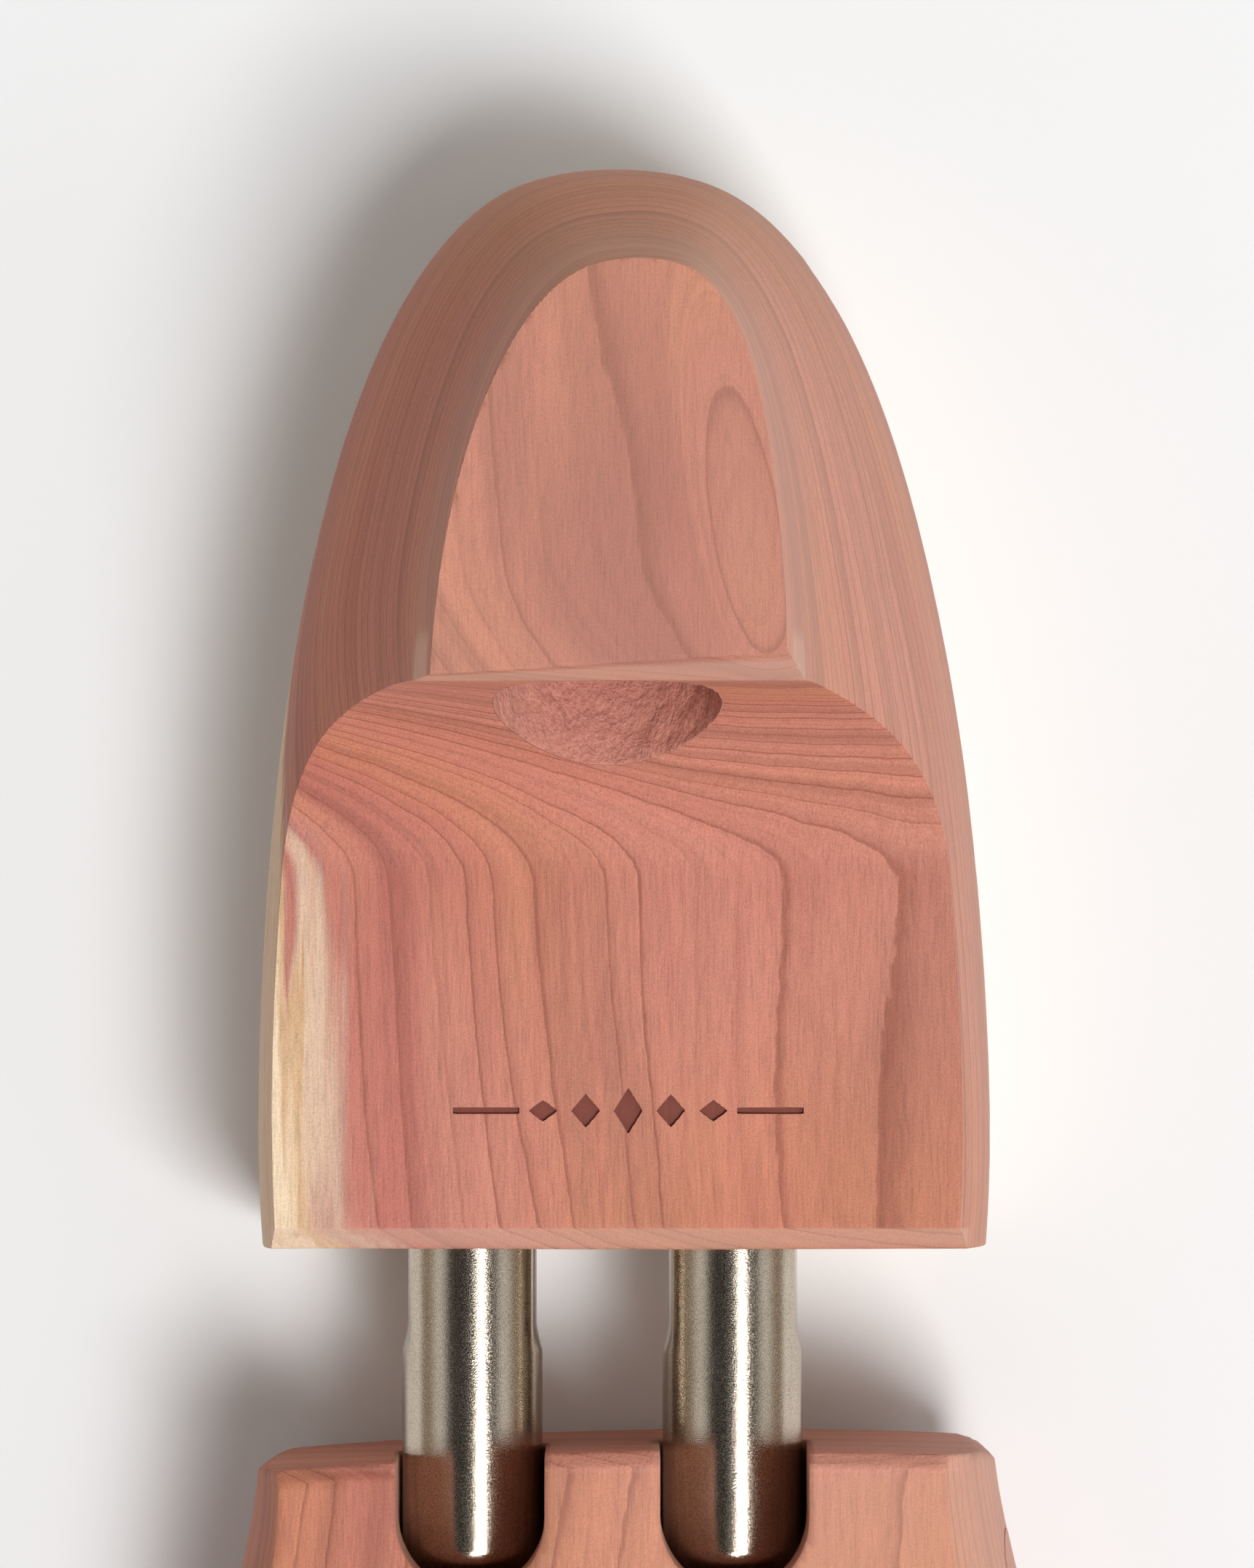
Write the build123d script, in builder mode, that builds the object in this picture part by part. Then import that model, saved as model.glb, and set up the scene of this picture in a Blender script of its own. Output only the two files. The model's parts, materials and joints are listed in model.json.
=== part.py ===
"""Cedar shoe tree for a left shoe, with a sprung twin-tube heel and a split toe.

Frame: millimetres, +Z up from the sole, +Y towards the heel, -Y towards the toe and
+X towards the outer (lateral) side of the foot. The origin is the middle of the
overall length and width, on the floor. The tubes run along Y, evenly about X = 0.

Bodies, from the toe back:
  forefoot  front_block and everything fixed in it
  toe_wing  the outer half of the split toe, which slides on two guide rods
  tubes     the two tubes, hinged on the pivot pin in the front block's slots
  heel      heel_block, which slides on the tubes against two compression springs
"""
import os
from math import cos, radians, sin

from build123d import *

os.makedirs("parts", exist_ok=True)

# ---------------------------------------------------------------- driving dimensions
tree_length = 274.0
heel_length = 91.7
relaxed_gap = 16.9          # heel block to front block with the springs relaxed
wing_travel = 5.0

tube_radius = 6.0
tube_wall = 0.8
tube_spacing = 22.3
tube_height = 22.0          # height of the tube axes above the sole
running_gap = 0.08          # radial clearance of a sliding fit
loose_gap = 0.3             # clearance where parts only pass each other

heel_rear = tree_length / 2
heel_front = heel_rear - heel_length
fore_rear = heel_front - relaxed_gap
toe_tip = -tree_length / 2
sides = {"medial": -1, "lateral": 1}
tube_x = {side: sign * tube_spacing / 2 for side, sign in sides.items()}


def save(builder, name):
    """Label a finished piece and write it to its own STEP file."""
    builder.part.label = name
    export_step(builder.part, f"parts/{name}.step")


def facing_rear(x, y, z):
    """A sketch plane at a point, normal to the tubes: local x is X and local y is Z."""
    return Plane(origin=(x, y, z), x_dir=(-1, 0, 0), z_dir=(0, 1, 0))


def facing_outer(x, y, z):
    """A sketch plane at a point, normal to the guide rods and the pivot pin."""
    return Plane(origin=(x, y, z), x_dir=(0, 1, 0), z_dir=(1, 0, 0))


# ------------------------------------------------------------------------ heel block
# Plan outline: flat front, widest a little behind it, then a superellipse to the rear.
# For each side: half width, and the powers of its curve along the side and at the rear.
heel_sides = {"medial": (29.4, 2.55, 2.15), "lateral": (33.2, 2.7, 1.85)}
front_taper = 0.35          # how much narrower each side is at the front face
outline_steps = 7
heel_flat_height = 35.0
handle_height = 62.0
# Height, insets of the medial side, lateral side and rear from the widest outline, how
# far the rear end leans to the lateral side, and where the section is widest.
heel_levels = (
    (0.0, 3.4, 3.6, 2.3, 0.6, 8.0),
    (8.0, 1.0, 1.1, 0.7, 0.6, 8.0),
    (22.0, 0.0, 0.0, 0.0, 0.6, 8.0),
    (heel_flat_height, 1.5, 2.7, 0.8, 0.8, 8.0),
    (41.0, 4.0, 6.4, 2.5, 1.1, 14.0),
    (47.0, 7.7, 11.0, 4.9, 1.5, 24.0),
    (54.0, 11.8, 14.9, 7.2, 2.1, 34.0),
    (handle_height, 15.2, 17.8, 9.2, 2.8, 42.0),
)


def heel_outline(medial_inset, lateral_inset, rear_inset, lean, widest):
    """Points round a heel section, from its medial to its lateral front corner."""
    station = heel_front + widest
    reach = heel_length - widest - rear_inset
    insets = {"medial": medial_inset, "lateral": lateral_inset}
    halves = {}
    for side, sign in sides.items():
        half_width, side_power, rear_power = heel_sides[side]
        width = half_width - insets[side]
        points = [(sign * (width - front_taper), heel_front)]
        for step in range(outline_steps):
            angle = radians(90 * step / outline_steps)
            x = sign * width * cos(angle) ** (2 / side_power) + lean * sin(angle) ** 2
            y = station + reach * sin(angle) ** (2 / rear_power)
            points.append((x, y))
        halves[side] = points
    return halves["medial"] + [(lean, station + reach)] + halves["lateral"][::-1]


with BuildPart() as heel_blank:
    for height, *shape in heel_levels:
        outline = heel_outline(*shape)
        with BuildSketch(Plane.XY.offset(height)):
            with BuildLine():
                Spline(*outline)
                Line(outline[-1], outline[0])
            make_face()
    loft()

# Scoop between the handle and the low flat: a quarter ellipse down from the brow, and a
# bevel above the brow that widens towards the lateral side.
brow = (heel_front + 47.9, 58.0)
scoop_length = 16.2
bevel_runs = ((-20.0, 0.1), (26.0, 3.0))    # station across the block, and run there
scoop_foot = (brow[0] - scoop_length, heel_flat_height)
front_chamfer = 1.9
clear = 5.0                 # how far a cutting profile runs past the block

# Finger hole, drilled down and back into the scoop.
finger_radius = 9.5
finger_depth = 24.0
finger_tilt = radians(21.5)
finger_mouth = (0.5, brow[0] - 3.8, heel_flat_height + 13.25)
finger_axis = (0, -cos(finger_tilt), sin(finger_tilt))

# Tube bores, each closed by a spring seat at its blind end.
bore_radius = tube_radius + running_gap
bore_end = heel_front + 64.0

# Retaining pins, one each side of each tube, driven up from the sole and plugged.
pin_radius = 1.25
pin_station = heel_front + 14.0
pin_top = 30.0
pin_plug_depth = 6.0
pin_plug_radius = 2.6
groove_half_width = 5.5
pin_offset = groove_half_width + running_gap + pin_radius
pin_spots = [(x + edge * pin_offset, pin_station) for x in tube_x.values() for edge in (-1, 1)]

# Ornament cut in the flat: a row of lozenges between two short rules.
ornament_station = heel_front + 11.8
ornament_centre = 2.2
ornament_depth = 0.35
lozenge_heights = (1.8, 2.8, 3.8, 2.8, 1.8)
lozenge_width = 2.4
lozenge_pitch = 3.6
rule_length = 5.6
rule_width = 0.5
rule_distance = 12.0

with BuildPart() as heel_block:
    add(heel_blank.part)
    with BuildSketch(Plane.YZ):
        with BuildLine():
            EllipticalCenterArc(
                (scoop_foot[0], brow[1]),
                scoop_length,
                brow[1] - heel_flat_height,
                start_angle=0,
                arc_size=-90,
            )
            Polyline(
                scoop_foot,
                (heel_front - clear, heel_flat_height),
                (heel_front - clear, handle_height + clear),
                (brow[0], handle_height + clear),
                brow,
            )
        make_face()
    extrude(amount=tree_length / 2, both=True, mode=Mode.SUBTRACT)
    with BuildPart(mode=Mode.SUBTRACT):
        for x, run in bevel_runs:
            with BuildSketch(Plane.YZ.offset(x)):
                with BuildLine():
                    Polyline(
                        brow,
                        (brow[0] + run, handle_height),
                        (brow[0] + run, handle_height + clear),
                        (brow[0] - clear, handle_height + clear),
                        (brow[0] - clear, brow[1]),
                        close=True,
                    )
                make_face()
        loft(ruled=True)
    front_face = heel_block.faces().sort_by(Axis.Y)[0]
    chamfer(front_face.edges().sort_by(Axis.Z)[-1], front_chamfer)
    with BuildSketch(Plane(origin=finger_mouth, z_dir=finger_axis)):
        Circle(finger_radius)
    extrude(amount=-finger_depth, mode=Mode.SUBTRACT)
    for x in tube_x.values():
        with BuildSketch(facing_rear(x, heel_front, tube_height)):
            Circle(bore_radius)
        extrude(amount=bore_end - heel_front, mode=Mode.SUBTRACT)
    with BuildSketch(Plane.XY):
        with Locations(*pin_spots):
            Circle(pin_radius)
    extrude(amount=pin_top, mode=Mode.SUBTRACT)
    with BuildSketch(Plane.XY):
        with Locations(*pin_spots):
            Circle(pin_plug_radius)
    extrude(amount=pin_plug_depth, mode=Mode.SUBTRACT)
    with BuildSketch(Plane.XY.offset(heel_flat_height)):
        for place, height in enumerate(lozenge_heights):
            half_width = lozenge_width / 2
            centre = ornament_centre + lozenge_pitch * (place - len(lozenge_heights) // 2)
            with Locations((centre, ornament_station)):
                Polygon((-half_width, 0), (0, -height / 2), (half_width, 0), (0, height / 2))
        for sign in sides.values():
            with Locations((ornament_centre + sign * rule_distance, ornament_station)):
                Rectangle(rule_length, rule_width)
    extrude(amount=-ornament_depth, mode=Mode.SUBTRACT)
save(heel_block, "heel_block")

with BuildPart() as retaining_pins:
    with BuildSketch(Plane.XY.offset(pin_plug_depth)):
        with Locations(*pin_spots):
            Circle(pin_radius)
    extrude(amount=pin_top - pin_plug_depth)
save(retaining_pins, "retaining_pins")

with BuildPart() as pin_plugs:
    with BuildSketch(Plane.XY):
        with Locations(*pin_spots):
            Circle(pin_plug_radius)
    extrude(amount=pin_plug_depth)
save(pin_plugs, "pin_plugs")

# --------------------------------------------------------- spring seats and heel springs
seat_thickness = 2.0
seat_pilot_radius = 3.6
seat_pilot_length = 4.0
tube_insertion = 30.0       # how much of each tube lies in the heel block, relaxed
tube_rear = heel_front + tube_insertion
cap_thickness = 2.0
cap_spigot_length = 8.0
heel_spring_wire = 0.7      # radius of the wire
heel_spring_radius = 4.7    # radius of the coil, to the middle of the wire
heel_spring_turns = 10
spring_front = tube_rear + cap_thickness
spring_rear = bore_end - seat_thickness


def spring(start, axis, length, coil_radius, wire_radius, turns):
    """A compression spring filling a length along an axis, from the start point."""
    height = length - 2 * wire_radius
    with BuildPart() as coil:
        with BuildLine() as path:
            Helix(
                pitch=height / turns,
                height=height,
                radius=coil_radius,
                center=Vector(*start) + Vector(*axis) * wire_radius,
                direction=axis,
            )
        with BuildSketch(Plane(origin=path.line @ 0, z_dir=path.line % 0)):
            Circle(wire_radius)
        sweep(is_frenet=True)
    return coil


for side, x in tube_x.items():
    with BuildPart() as seat:
        with BuildSketch(facing_rear(x, bore_end, tube_height)):
            Circle(bore_radius)
        extrude(amount=-seat_thickness)
        with BuildSketch(facing_rear(x, bore_end - seat_thickness, tube_height)):
            Circle(seat_pilot_radius)
        extrude(amount=-seat_pilot_length)
        chamfer(seat.edges().sort_by(Axis.Y)[0], 0.8)
    save(seat, f"spring_seat_{side}")

    heel_spring = spring(
        (x, spring_front, tube_height),
        (0, 1, 0),
        spring_rear - spring_front,
        heel_spring_radius,
        heel_spring_wire,
        heel_spring_turns,
    )
    save(heel_spring, f"heel_spring_{side}")

# ------------------------------------------------------------------------ front block
# Cross sections from the rear to the toe. Each is a superellipse about a widest level:
# station, centre x, half width, widest height, top height, and the side powers.
fore_sections = (
    (fore_rear, 1.9, 31.5, 16.0, 48.0, 5.5, 2.3),
    (14.0, 2.2, 34.0, 16.0, 46.0, 4.5, 2.3),
    (-12.0, 2.4, 39.1, 15.0, 42.0, 3.4, 2.3),
    (-40.0, 1.3, 43.1, 14.0, 37.3, 2.7, 2.3),
    (-67.0, -0.7, 43.8, 13.5, 33.2, 2.5, 2.3),
    (-94.0, -2.2, 39.6, 13.0, 29.2, 2.4, 2.4),
    (-114.0, -3.6, 31.6, 13.0, 26.0, 2.3, 2.3),
    (-127.0, -5.0, 21.0, 13.3, 23.0, 2.2, 2.2),
    (-134.0, -5.8, 11.0, 14.0, 19.3, 2.0, 2.0),
)
toe_point = (-6.0, toe_tip, 14.5)
section_steps = 16
section_top_power = 2.5
section_base_power = 2.6
blank_base = -6.0
fore_top = 36.0


def fore_section(centre, half_width, widest, top, medial_power, lateral_power):
    """Points round a front block cross section, in X and Z."""
    points = []
    for step in range(section_steps):
        angle = radians(360 * step / section_steps)
        across, up = cos(angle), sin(angle)
        power = lateral_power if across > 0 else medial_power
        reach = top - widest if up > 0 else widest - blank_base
        rise_power = section_top_power if up > 0 else section_base_power
        x = half_width * abs(across) ** (2 / power) * (1 if across > 0 else -1)
        z = reach * abs(up) ** (2 / rise_power) * (1 if up > 0 else -1)
        points.append((centre + x, widest + z))
    return points


with BuildPart() as fore_blank:
    slices = []
    for station, *shape in fore_sections:
        with BuildSketch(Plane.XZ.offset(-station)) as slice_sketch:
            with BuildLine():
                Spline(*fore_section(*shape), periodic=True)
            make_face()
        slices.append(slice_sketch.sketch)
    loft(sections=[*slices, Vertex(*toe_point)])

# The rear face is slightly bowed and skewed, and its corners round off more lower down.
rear_bulge_centre = 12.0
rear_bulge_radius = 450.0
medial_corner = (-29.9, 0.25)      # x at the rear, and how fast the side flares forward
lateral_corner = (33.6, 0.30)
corner_rounding = ((-clear, 6.0, 4.0), (fore_top + clear, 0.6, 2.2))   # height, medial, lateral


def rear_edge(x):
    """A point of the front block's rear edge in plan."""
    return (x, fore_rear - (x - rear_bulge_centre) ** 2 / (2 * rear_bulge_radius))


with BuildPart() as rear_window:
    for height, medial_round, lateral_round in corner_rounding:
        with BuildSketch(Plane.XY.offset(height)) as window:
            with BuildLine():
                medial = rear_edge(medial_corner[0])
                lateral = rear_edge(lateral_corner[0])
                ThreePointArc(lateral, rear_edge(rear_bulge_centre), medial)
                Polyline(
                    medial,
                    (medial[0] - medial_corner[1] * tree_length, medial[1] - tree_length),
                    (lateral[0] + lateral_corner[1] * tree_length, lateral[1] - tree_length),
                    lateral,
                )
            make_face()
            fillet(window.vertices().sort_by(Axis.X)[1], medial_round)
            fillet(window.vertices().sort_by(Axis.X)[-2], lateral_round)
    loft(ruled=True)

# Underside: an arch at the waist and the spring of the toe.
arch_front = -30.0
arch_rise = 5.0
toe_spring_start = -92.0
toe_spring_rise = 7.0

with BuildPart() as fore_shape:
    add(fore_blank.part)
    add(rear_window.part, mode=Mode.INTERSECT)
    with BuildSketch(Plane.YZ):
        with BuildLine():
            arch_foot = (arch_front, 0)
            arch_top = (fore_rear + clear, arch_rise)
            TangentArc(arch_foot, arch_top, tangent=(1, 0))
            Polyline(arch_top, (arch_top[0], -2 * clear), (arch_front, -2 * clear), arch_foot)
        make_face()
        with BuildLine():
            spring_foot = (toe_spring_start, 0)
            spring_top = (toe_tip - clear, toe_spring_rise)
            TangentArc(spring_foot, spring_top, tangent=(-1, 0))
            Polyline(spring_top, (spring_top[0], -2 * clear), (toe_spring_start, -2 * clear), spring_foot)
        make_face()
        with Locations(((arch_front + toe_spring_start) / 2, 0)):
            Rectangle(arch_front - toe_spring_start, 4 * clear, align=(Align.CENTER, Align.MAX))
    extrude(amount=tree_length / 2, both=True, mode=Mode.SUBTRACT)
    with BuildSketch(Plane.XY.offset(fore_top)):
        Rectangle(tree_length, 2 * tree_length)
    extrude(amount=handle_height, mode=Mode.SUBTRACT)

# Split: a gap along the toe, and a saw kerf out to the lateral side behind the wing.
split_medial = -6.0
split_lateral = 0.0
kerf_rear = -24.5
kerf_front = -26.0

# Pivot of the tubes, under the rounded ends of two slots open to the top and rear.
slot_radius = tube_radius + loose_gap
slot_centre = fore_rear - 5.8
pivot_y = slot_centre - slot_radius + 0.6
pocket_end = pivot_y - tube_radius - 2 * loose_gap
pocket_headroom = 1.2
pivot_radius = 2.0
pivot_start = -25.0
pivot_end = 27.0
pivot_plug_radius = 4.0
rear_chamfer = 1.2

# Guide rods of the wing, each with a head sliding in a plugged counterbore.
rod_stations = {"rear": -52.0, "front": -98.0}
rod_height = 13.0
rod_radius = 2.5
rod_head_radius = 4.5
rod_head_thickness = 2.0
rod_end = 24.0
bush_radius = 4.5
bush_length = 12.0
counterbore_radius = rod_head_radius + loose_gap
counterbore_floor = -22.0
rod_plug_inner = counterbore_floor - rod_head_thickness - wing_travel - 2.0
rod_plug_length = 30.0
insert_radius = 4.5
insert_start = 10.0
wing_spring_wire = 0.5
wing_spring_radius = 3.75
wing_spring_turns = 6
spring_pocket_radius = 5.0

with BuildPart() as wing_region:
    with BuildSketch(Plane.XY.offset(-clear)):
        with Locations((split_lateral, kerf_front)):
            Rectangle(tree_length, tree_length, align=(Align.MIN, Align.MAX))
    extrude(amount=fore_top + 2 * clear)

with BuildPart() as wing_and_gap_region:
    with BuildSketch(Plane.XY.offset(-clear)):
        with Locations((split_medial, kerf_rear)):
            Rectangle(tree_length, tree_length, align=(Align.MIN, Align.MAX))
    extrude(amount=fore_top + 2 * clear)

with BuildPart() as front_block:
    add(fore_shape.part)
    add(wing_and_gap_region.part, mode=Mode.SUBTRACT)
    rear_top_edge = front_block.edges().filter_by_position(Axis.Z, fore_top - 0.01, fore_top + 0.01)
    chamfer(rear_top_edge.sort_by(Axis.Y)[-1], rear_chamfer)
    for x in tube_x.values():
        with BuildSketch(Plane.XY.offset(tube_height)):
            with Locations((x, slot_centre)):
                Circle(slot_radius)
                Rectangle(2 * slot_radius, tree_length, align=(Align.CENTER, Align.MIN))
        extrude(amount=fore_top, mode=Mode.SUBTRACT)
        with BuildSketch(facing_rear(x, pocket_end, tube_height + pocket_headroom / 2)):
            SlotCenterToCenter(pocket_headroom, 2 * slot_radius, rotation=90)
        extrude(amount=fore_rear + clear - pocket_end, mode=Mode.SUBTRACT)
    with BuildSketch(facing_outer(pivot_start, pivot_y, tube_height)):
        Circle(pivot_radius)
    extrude(amount=pivot_end - pivot_start, mode=Mode.SUBTRACT)
    with BuildSketch(facing_outer(pivot_end, pivot_y, tube_height)):
        Circle(pivot_plug_radius)
    extrude(amount=tree_length, mode=Mode.SUBTRACT)
    for y in rod_stations.values():
        with BuildSketch(facing_outer(counterbore_floor, y, rod_height)):
            Circle(rod_radius + loose_gap)
        extrude(amount=split_medial - counterbore_floor, mode=Mode.SUBTRACT)
        with BuildSketch(facing_outer(split_medial - bush_length, y, rod_height)):
            Circle(bush_radius)
        extrude(amount=bush_length, mode=Mode.SUBTRACT)
        with BuildSketch(facing_outer(counterbore_floor, y, rod_height)):
            Circle(counterbore_radius)
        extrude(amount=-tree_length, mode=Mode.SUBTRACT)
save(front_block, "front_block")

with BuildPart() as pivot_pin:
    with BuildSketch(facing_outer(pivot_start, pivot_y, tube_height)):
        Circle(pivot_radius)
    extrude(amount=pivot_end - pivot_start)
save(pivot_pin, "pivot_pin")

with BuildPart() as pivot_plug:
    with BuildSketch(facing_outer(pivot_end, pivot_y, tube_height)):
        Circle(pivot_plug_radius)
    extrude(amount=tree_length)
    add(fore_shape.part, mode=Mode.INTERSECT)
save(pivot_plug, "pivot_plug")

for station, y in rod_stations.items():
    with BuildPart() as rod_bush:
        with BuildSketch(facing_outer(split_medial - bush_length, y, rod_height)):
            Circle(bush_radius)
            Circle(rod_radius + running_gap, mode=Mode.SUBTRACT)
        extrude(amount=bush_length)
    save(rod_bush, f"rod_bush_{station}")

    with BuildPart() as rod_plug:
        with BuildSketch(facing_outer(rod_plug_inner, y, rod_height)):
            Circle(counterbore_radius)
        extrude(amount=-rod_plug_length)
        add(fore_shape.part, mode=Mode.INTERSECT)
    save(rod_plug, f"rod_plug_{station}")

# --------------------------------------------------------------------------- toe wing
with BuildPart() as toe_wing:
    add(fore_shape.part)
    add(wing_region.part, mode=Mode.INTERSECT)
    for y in rod_stations.values():
        with BuildSketch(facing_outer(split_lateral, y, rod_height)):
            Circle(spring_pocket_radius)
        extrude(amount=insert_start - split_lateral, mode=Mode.SUBTRACT)
        with BuildSketch(facing_outer(insert_start, y, rod_height)):
            Circle(insert_radius)
        extrude(amount=rod_end - insert_start, mode=Mode.SUBTRACT)
save(toe_wing, "toe_wing")

for station, y in rod_stations.items():
    with BuildPart() as guide_rod:
        with BuildSketch(facing_outer(counterbore_floor, y, rod_height)):
            Circle(rod_radius)
        extrude(amount=rod_end - counterbore_floor)
        with BuildSketch(facing_outer(counterbore_floor, y, rod_height)):
            Circle(rod_head_radius)
        extrude(amount=-rod_head_thickness)
        with BuildSketch(facing_outer(counterbore_floor - rod_head_thickness, y, rod_height)):
            Rectangle(2 * rod_head_radius, 1.0)
        extrude(amount=0.8, mode=Mode.SUBTRACT)
    save(guide_rod, f"guide_rod_{station}")

    with BuildPart() as rod_insert:
        with BuildSketch(facing_outer(insert_start, y, rod_height)):
            Circle(insert_radius)
            Circle(rod_radius, mode=Mode.SUBTRACT)
        extrude(amount=rod_end - insert_start)
    save(rod_insert, f"rod_insert_{station}")

    wing_spring = spring(
        (split_medial, y, rod_height),
        (1, 0, 0),
        insert_start - split_medial,
        wing_spring_radius,
        wing_spring_wire,
        wing_spring_turns,
    )
    save(wing_spring, f"wing_spring_{station}")

# ------------------------------------------------------------------------------ tubes
# Each tube is crimped flat on both sides, from just outside the heel block inwards.
tube_front = pivot_y + 2.9
crimp_length = 8.7
groove_front = heel_front - crimp_length
groove_rear = pin_station + pin_radius + loose_gap
tube_bore = tube_radius - tube_wall
spigot_rear = pivot_y + 14.0
spigot_radius = tube_bore - 0.02

for side, x in tube_x.items():
    with BuildPart() as tube:
        for start, end, half_width in (
            (tube_front, groove_front, tube_radius),
            (groove_front, groove_rear, groove_half_width),
            (groove_rear, tube_rear, tube_radius),
        ):
            with BuildSketch(facing_rear(x, start, tube_height)):
                Circle(tube_radius)
                Rectangle(2 * half_width, 2 * tube_radius, mode=Mode.INTERSECT)
                with BuildSketch(mode=Mode.PRIVATE) as hollow:
                    Circle(tube_bore)
                    Rectangle(2 * (half_width - tube_wall), 2 * tube_bore, mode=Mode.INTERSECT)
                add(hollow.sketch, mode=Mode.SUBTRACT)
            extrude(amount=end - start)
    save(tube, f"tube_{side}")

    with BuildPart() as tube_eye:
        with BuildSketch(Plane(origin=(x, pivot_y, tube_height), x_dir=(0, 1, 0), z_dir=(1, 0, 0))):
            with BuildLine():
                CenterArc((0, 0), tube_radius, 90, 90)
                Polyline(
                    (0, tube_radius),
                    (tube_front - pivot_y, tube_radius),
                    (tube_front - pivot_y, spigot_radius),
                    (spigot_rear - pivot_y, spigot_radius),
                    (spigot_rear - pivot_y, 0),
                    (-tube_radius, 0),
                )
            make_face()
        revolve(axis=Axis((x, 0, tube_height), (0, 1, 0)))
        with BuildSketch(facing_outer(x - tube_radius, pivot_y, tube_height)):
            Circle(pivot_radius + running_gap)
        extrude(amount=2 * tube_radius, mode=Mode.SUBTRACT)
    save(tube_eye, f"tube_eye_{side}")

    with BuildPart() as tube_cap:
        with BuildSketch(facing_rear(x, tube_rear - cap_spigot_length, tube_height)):
            Circle(spigot_radius)
        extrude(amount=cap_spigot_length)
        with BuildSketch(facing_rear(x, tube_rear, tube_height)):
            Circle(tube_radius)
        extrude(amount=cap_thickness)
        with BuildSketch(facing_rear(x, tube_rear + cap_thickness, tube_height)):
            Circle(seat_pilot_radius)
        extrude(amount=seat_pilot_length)
        chamfer(tube_cap.edges().sort_by(Axis.Y)[-1], 0.8)
    save(tube_cap, f"tube_cap_{side}")
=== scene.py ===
"""Looks of the cedar shoe tree: cedar blocks, nickel-plated tubes, and a soft studio.

Everything is in metres in the CAD frame: +Y towards the heel, +X to the outer side of
the foot, +Z up. MM turns the millimetre sizes written below into metres.
"""
import json
import math

import bmesh
import bpy
import numpy as np
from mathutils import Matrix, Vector, noise


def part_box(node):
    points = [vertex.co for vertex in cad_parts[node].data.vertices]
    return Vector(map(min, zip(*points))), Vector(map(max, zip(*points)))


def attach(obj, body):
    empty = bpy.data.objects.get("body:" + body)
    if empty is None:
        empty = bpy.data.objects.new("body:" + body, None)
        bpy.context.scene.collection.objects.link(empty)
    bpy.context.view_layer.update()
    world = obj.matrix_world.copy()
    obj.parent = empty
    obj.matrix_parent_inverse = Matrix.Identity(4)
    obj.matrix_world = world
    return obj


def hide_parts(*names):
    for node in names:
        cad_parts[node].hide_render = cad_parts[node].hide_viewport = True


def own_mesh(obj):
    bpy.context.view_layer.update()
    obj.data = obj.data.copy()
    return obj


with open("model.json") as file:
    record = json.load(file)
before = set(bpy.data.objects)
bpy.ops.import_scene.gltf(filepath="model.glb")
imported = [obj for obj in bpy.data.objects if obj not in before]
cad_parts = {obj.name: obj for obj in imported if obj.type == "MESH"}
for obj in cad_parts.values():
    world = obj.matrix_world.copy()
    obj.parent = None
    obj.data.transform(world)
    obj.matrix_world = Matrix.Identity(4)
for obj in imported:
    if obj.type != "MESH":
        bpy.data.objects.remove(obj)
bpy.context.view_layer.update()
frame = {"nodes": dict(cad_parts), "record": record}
MM = 0.001
HEEL_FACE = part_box("heel_block")[0][1] / MM     # station of the heel block's front face


def to_linear(red, green, blue):
    """An sRGB colour given as 0 to 255, as linear RGBA."""
    channels = [c / 255 for c in (red, green, blue)]
    linear = [c / 12.92 if c <= 0.04045 else ((c + 0.055) / 1.055) ** 2.4 for c in channels]
    return (*linear, 1.0)


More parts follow.
